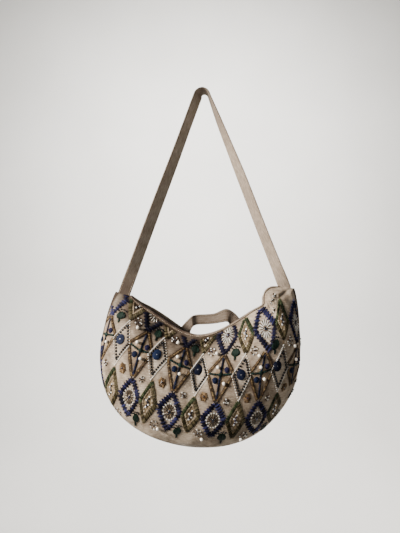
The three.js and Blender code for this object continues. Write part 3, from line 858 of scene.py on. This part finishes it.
# the next diamond's toothed border shows along the left rim
rimTeeth = {"ribs": (1.75, 3.0, 0.021), "teeth": (0, 0.7, 2.2, 0.7), "inner": 9.4, "outer": 4.6, "lift": 0.4,
            "thread": (1.9, 1.4)}
for i, rib in enumerate(np.arange(*rimTeeth["ribs"])):
    tooth = rimTeeth["teeth"][i % 4]
    away = np.array([rimTeeth["outer"] - tooth, rimTeeth["inner"] + tooth]) / ribLengths(rib, False)
    a, b = panelPoints(np.array([rib, rib]), 1 - away, False, True) * mm
    out = Vector(panelOutward(np.array([rib]), np.array([1 - away.mean()]), False)[0])
    run = Vector(b - a)
    side = out.cross(run).normalized()
    wide, high = rimTeeth["thread"]
    axes = (run, side * wide * mm, run.cross(side).normalized() * high * mm)
    lay("blueSatin", Vector((a + b) / 2) + out * rimTeeth["lift"] * mm, axes)
for place, start in curlMotif["places"]:
    curl(place, start)
print("embroidery charted:", {k: len(v) for k, v in sewn.items()})


def takeShape():
    # the points and faces of the shape just modelled, whose object then goes
    made = bpy.context.object
    verts = np.array([v.co for v in made.data.vertices])
    faces = [tuple(f.vertices) for f in made.data.polygons]
    bpy.data.objects.remove(made, do_unlink=True)
    return verts, faces


def ballShape(segments, rings):
    deselect()
    bpy.ops.mesh.primitive_uv_sphere_add(segments=segments, ring_count=rings, radius=0.5)
    return takeShape()


def threadShape():
    # a plump thread along x, its ends drawn in
    verts, faces = ballShape(5, 4)
    turned = np.stack([verts[:, 2], verts[:, 1], -verts[:, 0]], -1)
    away = np.abs(turned[:, 0])
    shoulder = (away > 0.2) & (away < 0.49)
    turned[:, 0] = np.where(shoulder, np.sign(turned[:, 0]) * 0.4, turned[:, 0])
    turned[:, 1:] *= np.where(shoulder, 1.15, 1.0)[:, None]
    return turned, faces


def tubeShape():
    # bugle bead along x with bevelled ends
    deselect()
    bpy.ops.mesh.primitive_cylinder_add(vertices=6, radius=0.5, depth=1, rotation=(0, math.pi / 2, 0))
    bpy.ops.object.transform_apply(location=False, rotation=True, scale=False)
    openForEdit(bpy.context.object)
    bpy.ops.mesh.bevel(offset=0.08, segments=1)
    setMode("OBJECT")
    return takeShape()


def sequinShape():
    # cupped disc with a dimple at its thread hole
    deselect()
    bpy.ops.mesh.primitive_cylinder_add(vertices=10, radius=0.5, depth=0.3)
    setMode("EDIT")
    bpy.ops.mesh.select_all(action="DESELECT")
    bpy.ops.mesh.select_mode(type="FACE")
    setMode("OBJECT")
    for face in bpy.context.object.data.polygons:
        face.select = face.normal.z > 0.9
    setMode("EDIT")
    bpy.ops.mesh.inset(thickness=0.3, depth=-0.1)
    bpy.ops.mesh.select_mode(type="VERT")
    setMode("OBJECT")
    return takeShape()


coil = {"turns": 5.5, "sides": 5, "steps": 120, "radius": 0.44, "high": 0.62, "fall": 0.75,
        "cordWide": 0.052, "cordHigh": 0.16}


def coilShape():
    # rosette of one cord wound into a low dome
    s = np.linspace(0, 1, coil["steps"])
    turn = 2 * np.pi * coil["turns"] * np.sqrt(s)
    radius = coil["radius"] * np.sqrt(s)
    rise = coil["high"] * (1 - coil["fall"] * s)
    points = []
    for k in range(coil["sides"] + 1):
        side = 2 * np.pi * k / coil["sides"]
        r = radius + coil["cordWide"] * np.cos(side)
        high = rise + coil["cordHigh"] * np.sin(side)
        points.append(np.stack([r * np.cos(turn), r * np.sin(turn), high], -1))
    points = np.stack(points, 1) / mm
    piece, _, _ = bentGrid("coil", points, np.zeros(points.shape[:2] + (2,)))
    faceOut(piece)
    return takeShape()


shapes = {"thread": threadShape(), "ball": ballShape(8, 5), "tube": tubeShape(), "sequin": sequinShape(),
          "coil": coilShape()}
# what isn't a plain thread where it is long, or a round bead where it is short
longShapes = {"silverBugle": "tube", "darkBugle": "tube"}
shortShapes = {"sequin": "sequin", "rosetteBlue": "coil", "violetBlue": "coil"}
longFrom = 1.35     # times its width


def joinCopies(name, shape, copies):
    # every copy of a small shape in one mesh, each with its own tone
    verts, faces = shapes[shape]
    origin = np.array([c[0] for c in copies])
    axes = np.array([[list(a) for a in c[1]] for c in copies])
    points = origin[:, None, :] + np.einsum("vk,nkj->nvj", verts, axes)
    base = np.arange(len(copies)) * len(verts)
    allFaces = [tuple(b + v for v in f) for b in base for f in faces]
    mesh = bpy.data.meshes.new(name)
    mesh.from_pydata(points.reshape(-1, 3).tolist(), [], allFaces)
    addAttribute(mesh, "tone", np.repeat([c[2] for c in copies], len(verts)))
    piece = bpy.data.objects.new(name, mesh)
    bpy.context.collection.objects.link(piece)
    mesh.shade_smooth()
    return piece


def sewDown(prefix):
    # all that has been laid so far, as one piece for each kind and shape
    made = 0
    for kind, copies in sewn.items():
        groups = {"run": [], "dot": []}
        for copy in copies:
            long, wide = copy[1][:2]
            groups["run" if long.length > longFrom * wide.length else "dot"].append(copy)
        kindShapes = {"run": longShapes.get(kind, "thread"), "dot": shortShapes.get(kind, "ball")}
        for part, group in groups.items():
            if group:
                finishPiece(joinCopies(f"{prefix}_{kind}_{part}", kindShapes[part], group), kind)
                made += 1
    sewn.clear()
    return made


def nearestOf(places):
    made = KDTree(len(places))
    for i, place in enumerate(places):
        made.insert(place, i)
    made.balance()
    return made


# darker on the cloth beside the raised work: soil that gathers there, and painted shade cast by the work
raised = [copies for kind, copies in sewn.items() if not kind.endswith(("Bead", "Bugle"))]
beside = nearestOf([copy[0] for copies in raised for copy in copies])
darkening = frontCanvas.data.attributes["wearAndShade"].data
for v in frontCanvas.data.vertices:
    away = beside.find(v.co)[2] / mm
    besideWork = panel["workSoilAndShade"] * math.exp(-(away / panel["workSpread"]) ** 2)
    darkening[v.index].value = min(darkening[v.index].value + besideWork, panel["mostDarkening"])
print("embroidery sewn:", sewDown("embroidery"), "pieces")

# tint of the cloth under each motif, found from the nearest chart place; the green and kite grounds are
# darker, partly in colour and partly as painted shade
tints = {"dotted": "#fffdf8", "green": "#d6c8a8", "blue": "#fffcf6", "kite": "#d9cbb8", "ground": "#f6f0e6",
         "halfWidth": 17, "halfHeight": 38, "within": 8}
places = [(c, r) for c in np.arange(-6.6, 4.61, 0.1) for r in np.arange(-1.7, 1.61, 0.05)]
nearest = nearestOf([(*chartPlace(c, r), 0) for c, r in places])
tint = []
for v in frontCanvas.data.vertices:
    _, index, away = nearest.find((v.co.x / mm, v.co.z / mm, 0))
    c, r = places[index]
    kind, row, column = "ground", round(r), round(c)
    charted = away < tints["within"]
    a, b = abs(c - column) * chart["columnPitch"], abs(r - row) * chart["rowPitch"]
    if charted and abs(row) <= 1 and a / tints["halfWidth"] + b / tints["halfHeight"] < 1:
        kind = (("kite", "dotted") if row == 0 else ("blue", "green"))[column % 2]
    tint.append(hexColour(tints[kind])[:3] + [1.0 if charted else 0.0])
addAttribute(frontCanvas.data, "tint", tint, "FLOAT_COLOR")
solidPanel(frontCanvas, False)
solidPanel(backCanvas, True)
finishPiece(frontCanvas, "embroideredCanvas", "front_panel")
finishPiece(backCanvas, "plainCanvas", "back_panel")
print("panels sewn and soiled")


def seamStitch(kind, a, b, up, width, height):
    # one stitch of a seam from a to b, in mm
    run, up = Vector((b - a) * mm), Vector(up)
    lay(kind, Vector((a + b) / 2 * mm), (run, up.cross(run).normalized() * width * mm, up * height * mm))


def bindingPiece(name, back):
    rib = np.linspace(0, lastRib, binding["steps"] + 1)
    long = ribLengths(rib, back)
    cloth, crown = bag["cloth"], binding["crown"]
    close, far = bag["gap"] * 0.4, bag["gap"] + binding["tape"]
    shares = np.array(binding["shares"])
    downs = [share * bindingDepth(rib) for share in shares]
    face = [panelPoints(rib, d / long, back) for d in downs]
    out = [panelOutward(rib, np.maximum(d / long, 0.001), back) for d in downs]
    up = unit(face[-1] - face[0])
    puff = binding["puff"] * np.sin(np.pi * shares) * (1 + 0.5 * np.sin(rib[:, None] * 21))
    # up the outside, over the cut edge, down the inside and back along the cloth
    ring = [face[k] + out[k] * (far + puff[:, k, None]) for k in range(5)]
    for turn in (30, 60, 90, 120, 150):
        side = -cloth / 2 + (cloth / 2 + far) * math.cos(math.radians(turn))
        ring.append(face[4] + out[4] * side + up * (crown + far * math.sin(math.radians(turn))))
    ring += [face[k] + out[k] * (-cloth - far - puff[:, k, None]) for k in (4, 3, 2, 1, 0)]
    ring += [face[k] + out[k] * (-cloth - close) for k in (0, 2, 4)]
    ring += [face[4] + up * (crown + close) - out[4] * cloth / 2]
    ring += [face[k] + out[k] * close for k in (4, 2, 0)]
    points = np.stack(ring + ring[:1], 1)
    lengths = runLengths(face[4])
    across = np.linspace(0, binding["around"], points.shape[1])
    piece, i, _ = bentGrid(name, points, np.stack(np.meshgrid(across, lengths), -1))
    # grime from handling, and on the front binding's left half painted shade where it turns from the light
    handledAndShaded = 0.05 if back else 0.25 + 0.35 * (1 - smoothStep(rib, 4.5, 7))
    addAttribute(piece.data, "wearAndShade", (0.2 + 0.15 * np.sin(rib * 3.3) ** 2 + handledAndShaded)[i])
    faceOut(piece)
    for side in (far + binding["lift"], -cloth - far - binding["lift"]):
        for s in np.arange(4.0, lengths[-1] - 4, binding["pitch"]):
            at = np.interp([s, s + binding["stitch"]], lengths, rib)
            along = binding["stitchAt"] * bindingDepth(at) / ribLengths(at, back)
            normal = panelOutward(at, along, back)
            ends = panelPoints(at, along, back) + normal * side
            seamStitch("seamThread", *ends, normal[0] * (1 if side > 0 else -1), *binding["thread"])
    return piece


for name, back, node in (("front_binding", False, "front_mouth_binding"),
                         ("back_binding", True, "back_mouth_binding")):
    finishPiece(bindingPiece(name, back), "plainCanvas", node)

# piping: covered cord sewn into the rim seam
piping = {"radius": 2.3, "uneven": 0.05, "sides": 10, "steps": 336, "uvRadius": 1.6}
rib = np.linspace(0, lastRib, piping["steps"] + 1)
turns = np.linspace(0, 2 * np.pi, piping["sides"] + 1)
outward = rimOutward(rib)
thick = piping["radius"] * (1 + piping["uneven"] * np.sin(rib * 9.7))
ring = [rimPoints(rib) + (outward * np.cos(t) + np.array([0, np.sin(t), 0])) * thick[:, None] for t in turns]
uv = np.stack(np.meshgrid(turns * piping["uvRadius"], runLengths(rimPoints(rib))), -1)
rimPiping, _, _ = bentGrid("rim_piping", np.stack(ring, 1), uv)
faceOut(rimPiping)
finishPiece(rimPiping, "pipingCord", "edge_piping")
print("bindings and piping made")

# hems of the flat bands: edges as shares of the half width, grooves and stitches in mm
hem = {"points": 17, "crowd": 0.85, "from": 0.88, "flat": 0.94, "groove": 0.3, "grooveWidth": 0.06,
       "rub": 0.45, "mostRub": 0.9, "pitch": 3.4, "stitch": 0.74, "thread": (0.95, 0.75), "sink": 0.12}


def sewnBand(name, band, run, wearAndShade, node, thread):
    # flat band with soft hemmed edges, a groove along each row of stitching and closed ends
    centre, width, normal = run
    lengths = runLengths(centre)
    half, count = band["thick"] / 2, hem["points"]
    w = np.linspace(-1, 1, count)
    spread = np.sign(w) * np.abs(w) ** hem["crowd"]
    edge = np.clip((np.abs(spread) - hem["from"]) / (1 - hem["from"]), 0, 1)
    tall = half * np.sqrt(np.maximum(1 - edge ** 2 * hem["flat"], 0.05))
    tall = tall - hem["groove"] * np.exp(-((np.abs(spread) - band["stitch"]) / hem["grooveWidth"]) ** 2)
    ring = [centre + width * s + normal * t for s, t in zip(spread, tall)]
    ring += [centre + width * s - normal * t for s, t in zip(spread[::-1], tall[::-1])]
    across = np.arange(count) * band["width"] / (count - 1)
    across = np.concatenate([across, across[::-1], [0]])
    uv = np.stack(np.meshgrid(across, lengths)[::-1], -1)
    piece, i, k = bentGrid(name, np.stack(ring + ring[:1], 1), uv)
    edgeWear = np.concatenate([edge, edge[::-1], edge[:1]])
    addAttribute(piece.data, "wearAndShade", np.minimum(wearAndShade[i] + hem["rub"] * edgeWear[k], hem["mostRub"]))
    faceOut(piece)
    for side, face in ((-1, -1), (-1, 1), (1, -1), (1, 1)):
        for s in np.arange(3.0, lengths[-1] - 4, hem["pitch"]):
            ends = []
            for at in (s, s + hem["pitch"] * hem["stitch"]):
                c, w, n = (np.array([np.interp(at, lengths, v[:, j]) for j in range(3)]) for v in run)
                ends.append(c + w * band["stitch"] * side + n * face * (half - hem["sink"]))
            seamStitch(thread, *ends, n * face, *hem["thread"])
    finishPiece(piece, "strapCanvas", node)
    return piece


# shoulder strap: from the left corner up over the hanging point and down to the right corner
strap = {
    "width": 24, "thick": 2.4, "stitch": 0.78, "bend": 10, "bendZ": -12.4, "bendSteps": 39, "twist": 1.65,
    "legSteps": 110, "slack": 1.6, "tail": 32, "tailSteps": 10,
    # each leg: the side it goes to, where it is sewn in, the lean of its tail,
    # and how it turns on the way down: shares of the way, degrees
    "left": (-1, (-159.5, 0, -408), 19, [0, .08, .2, .42, .6, .85, 1], [42, 43, 45, 54, 62, 67, 90]),
    "right": (1, (163, 0, -395), 5, [0, .15, .28, .42, .7, .9, 1], [4, 22, 32, 43, 49, 58, 90]),
}
toFront = np.array([0, -1.0, 0])
bendRadius = strap["bend"] + strap["thick"] / 2


def turnedBand(inward, turn):
    # the directions of a band's width and face, turned about its run
    return toFront * np.cos(turn) - inward * np.sin(turn), inward * np.cos(turn) + toFront * np.sin(turn)


def strapLeg(side, anchor, tailLean, falls, turns):
    anchor = np.array(anchor, float)
    acrossRun, downRun = abs(anchor[0]), strap["bendZ"] - anchor[2]
    lean = math.atan2(acrossRun, downRun) - math.asin(bendRadius / math.hypot(acrossRun, downRun))
    top = np.array([side * bendRadius * math.cos(lean), 0, bendRadius * math.sin(lean) + strap["bendZ"]])
    down = np.array([side * math.sin(lean), 0, -math.cos(lean)])
    inward = np.array([-side * math.cos(lean), 0, -math.sin(lean)])
    fall = np.linspace(0, 1, strap["legSteps"])
    rows = np.interp(fall, falls, np.arange(len(falls)))
    width, face = turnedBand(inward, np.radians(smoothColumn(turns, rows))[:, None])
    slack = (strap["slack"] * np.sin(fall * 9.0 + side) * np.sin(np.pi * fall))[:, None]
    centre = top + down * (fall * np.linalg.norm(anchor - top))[:, None] + face * slack * 0.5
    # the sewn-in tail lies flat between the panels
    tail = math.radians(tailLean)
    end = anchor + np.array([side * math.sin(tail), 0, -math.cos(tail)]) * strap["tail"]
    across = np.array([side * math.cos(tail), 0, math.sin(tail)])
    f = np.linspace(0, 1, strap["tailSteps"] + 1)[1:, None]
    centre = np.concatenate([centre, centre[-1] * (1 - f) + end * f])
    width = np.concatenate([width, unit(width[-1] * (1 - f) + across * f)])
    face = np.concatenate([face, unit(face[-1] * (1 - f) + toFront * f)])
    return lean, (centre, width, face)


leftLean, leftLeg = strapLeg(*strap["left"])
rightLean, rightLeg = strapLeg(*strap["right"])
steps = strap["bendSteps"]
arc = np.linspace(math.pi - leftLean, rightLean, steps + 1)[1:-1]
inward = np.stack([-np.cos(arc), 0 * arc, -np.sin(arc)], -1)
# it twists on its way over: broad on the left, edge-on on the right
fromTurn, toTurn = strap["left"][-1][0], strap["right"][-1][0]
ahead = (1 - np.arange(1, steps) / steps) ** strap["twist"]
twist = np.radians(toTurn + (fromTurn - toTurn) * ahead)[:, None]
bend = (-inward * bendRadius + np.array([0, 0, strap["bendZ"]]), *turnedBand(inward, twist))
strapRun = [np.concatenate([a[::-1], b, c]) for a, b, c in zip(leftLeg, bend, rightLeg)]
strapRun[1] = strapRun[1] * strap["width"] / 2
# darker by the left corner, over the top and down the right leg: painted shade on the left leg's low end and
# on the right leg, grime and painted shade over the top where it hangs
way = runLengths(strapRun[0])
overTop = way - way[np.argmax(strapRun[0][:, 2])]
rub = 0.04 + 0.03 * np.sin(way / 37) + 0.8 * (1 - smoothStep(way, 45, 105))
rub = rub + 0.5 * np.exp(-(overTop / 24) ** 2) + 0.25 * smoothStep(overTop, 0, 30)
rub = rub + 0.2 * np.exp(-((overTop - 65) / 40) ** 2)
strapBand = sewnBand("strap_band", strap, strapRun, rub, "shoulder_strap", "seamThread")

# carry handle: sewn inside the back of the mouth
handle = {
    "width": 21, "thick": 2.4, "stitch": 0.62, "steps": 132, "clear": 0.6, "darkening": 0.58,
    # x, z, lean, width and y, which is None where the handle lies on the cloth behind it
    "rows": [(-54, -513, 148, 21, None), (-46, -497, 144, 21, None), (-36, -480, 139, 21, 8.5),
             (-24, -464, 100, 21, 4.5), (-14, -459.5, 92, 20.5, 8.5), (5, -458.5, 90, 20.5, 9),
             (24, -456.5, 97, 21, 7.5), (46, -450, 93, 26, 3.5), (57, -457, 68, 26, 6.5),
             (66, -469, 52, 25, 8.5), (71, -488, 32, 22, None), (74, -504, 22, 21, None)],
}


def backInside(x, z):
    hit, normal, _, _ = castOn(True, x * mm, z * mm)
    return hit.y / mm - bag["cloth"] / abs(normal.y)


handlePoints = []
for x, z, lean, width, y in handle["rows"]:
    turn = math.radians(lean)
    sx, sz = math.cos(turn) * width / 2, math.sin(turn) * width / 2
    if y is None:
        behind = min(backInside(x + k * sx, z + k * sz) for k in (-1, 0, 1))
        y = behind - handle["clear"] - handle["thick"] / 2
    handlePoints.append((x, y, z, sx, 0, sz))
at = np.linspace(0, len(handlePoints) - 1, handle["steps"])
columns = np.stack([smoothColumn(values, at) for values in zip(*handlePoints)], -1)
handleRun = [columns[:, :3], columns[:, 3:], np.tile(toFront, (len(at), 1))]
# the handle is darkened all over by a set amount
handleDarkening = np.full(len(at), handle["darkening"])
handleBand = sewnBand("handle_band", handle, handleRun, handleDarkening, "carry_handle", "brownLine")
print("strap and handle made, seams sewn:", sewDown("seam"))

# pearls: the larger ones, each drilled and sewn on
pearl = {"radius": 3.2, "count": 18, "hole": 0.55, "holeRadius": 0.9, "grow": 1.03, "lean": 0.6, "clear": 0.2,
         "shift": 3.5}
deselect()
bpy.ops.mesh.primitive_uv_sphere_add(segments=20, ring_count=12, radius=pearl["radius"] * mm)
master = bpy.context.object
for v in master.data.vertices:
    if math.hypot(v.co.x, v.co.y) / mm < pearl["holeRadius"]:
        v.co.z -= math.copysign(pearl["hole"] * mm, v.co.z)
applyModifier(master, "SUBSURF", levels=1, render_levels=1)
bpy.ops.object.shade_smooth()
for number in range(1, pearl["count"] + 1):
    node = f"pearl_{number:02d}"
    low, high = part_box(node)
    copy = master.copy()
    copy.data = master.data.copy()
    copy.name = copy.data.name = f"sewn_pearl_{number:02d}"
    bpy.context.collection.objects.link(copy)
    middle = (np.array(low) + np.array(high)) / 2
    hit, normal, _, _ = castOn(False, middle[0], middle[2])
    if hit is not None and normal.y != 0:
        # the cloth's own folds set how far out it sits
        stand = (pearl["radius"] + pearl["clear"]) * mm / max(abs(normal.y), 0.4)
        shift = pearl["shift"] * mm
        middle[1] = min(max(hit.y - stand, middle[1] - shift), middle[1] + shift)
    lean = sewing.uniform(-pearl["lean"], pearl["lean"])
    x, y, z = (np.array([v.co for v in copy.data.vertices]) * pearl["grow"]).T
    c, s = math.cos(lean), math.sin(lean)
    turned = np.stack([z * c - x * s, y, z * s + x * c], -1)
    copy.data.vertices.foreach_set("co", (turned + middle).ravel())
    copy.data.update()
    finishPiece(copy, "pearl", node)
bpy.data.objects.remove(master, do_unlink=True)
print("pearls set:", pearl["count"])

# studio: pale sweep far behind, a soft key light on the left, weak ones in front and on the right
studio = {"floor": -1.6, "sky": "#e6e4df", "skyPower": 0.17, "skySeen": 1.6, "aim": (0, 0, -0.42),
          "rows": 60, "columns": 12, "halfWidth": 5, "smooth": 30,
          # the sweep's side view in metres, by shares of the way back and up
          "share": [0, .55, .75, 1], "away": [-4, 1.6, 2.6, 2.6], "up": [0, 0, 0.9, 4.2]}
lamps = {
    "key": {"from": (-0.87, -0.33, 0.37), "away": 2.4, "size": 0.7, "power": 15.5, "tint": "#fff8ee",
            "spread": 40},      # a grid keeps it off the floor
    "front": {"from": (0, -0.95, 0.2), "away": 3.0, "size": 1.6, "power": 6.2, "tint": "#fffdf8"},
    "fill": {"from": (0.75, -0.6, 0.25), "away": 3.0, "size": 1.6, "power": 8.5, "tint": "#fffdf8"},
    "sweep": {"from": (0, -0.82, 0.5), "away": 2.0, "size": 2.4, "power": 166, "tint": "#ffffff",
              "aim": (0, 2.6, -0.4)},
}
share = np.linspace(0, 1, studio["rows"])
profile = np.stack([np.interp(share, studio["share"], studio[name]) for name in ("away", "up")], -1)
for _ in range(studio["smooth"]):
    profile[1:-1] = (profile[:-2] + profile[2:] + 2 * profile[1:-1]) / 4
side = np.linspace(-studio["halfWidth"], studio["halfWidth"], studio["columns"])
points = np.stack(np.broadcast_arrays(side, profile[:, :1], profile[:, 1:] + studio["floor"]), -1) / mm
backdrop, _, _ = bentGrid("studio_sweep", points, np.zeros(points.shape[:2] + (2,)))
bpy.ops.object.shade_smooth()
backdrop.data.materials.append(finishes["sweep"])

for name, lamp in lamps.items():
    toward = Vector(lamp["from"]).normalized()
    place = Vector(lamp.get("aim", studio["aim"])) + toward * lamp["away"]
    deselect()
    bpy.ops.object.light_add(type="AREA", location=place, rotation=toward.to_track_quat("Z", "Y").to_euler())
    light = bpy.context.object
    light.name = name + "_light"
    light.data.shape = "DISK"
    light.data.size = lamp["size"]
    light.data.energy = lamp["power"]
    light.data.color = hexColour(lamp["tint"])[:3]
    light.data.spread = math.radians(lamp.get("spread", 180))
    light.visible_camera = False
world = bpy.data.worlds.new("PaleRoom")
bpy.context.scene.world = world
world.use_nodes = True
# past the sweep's edge the room looks as pale as the sweep, but lights no more than its share
tree = world.node_tree
seen = addNode(tree, "LightPath")["Is Camera Ray"]
power = addNode(tree, "Mix", {"Factor": seen, "A": studio["skyPower"], "B": studio["skySeen"]})["Result"]
setInputs(tree.nodes["Background"], {"Color": hexColour(studio["sky"]), "Strength": power})
print("studio lit")
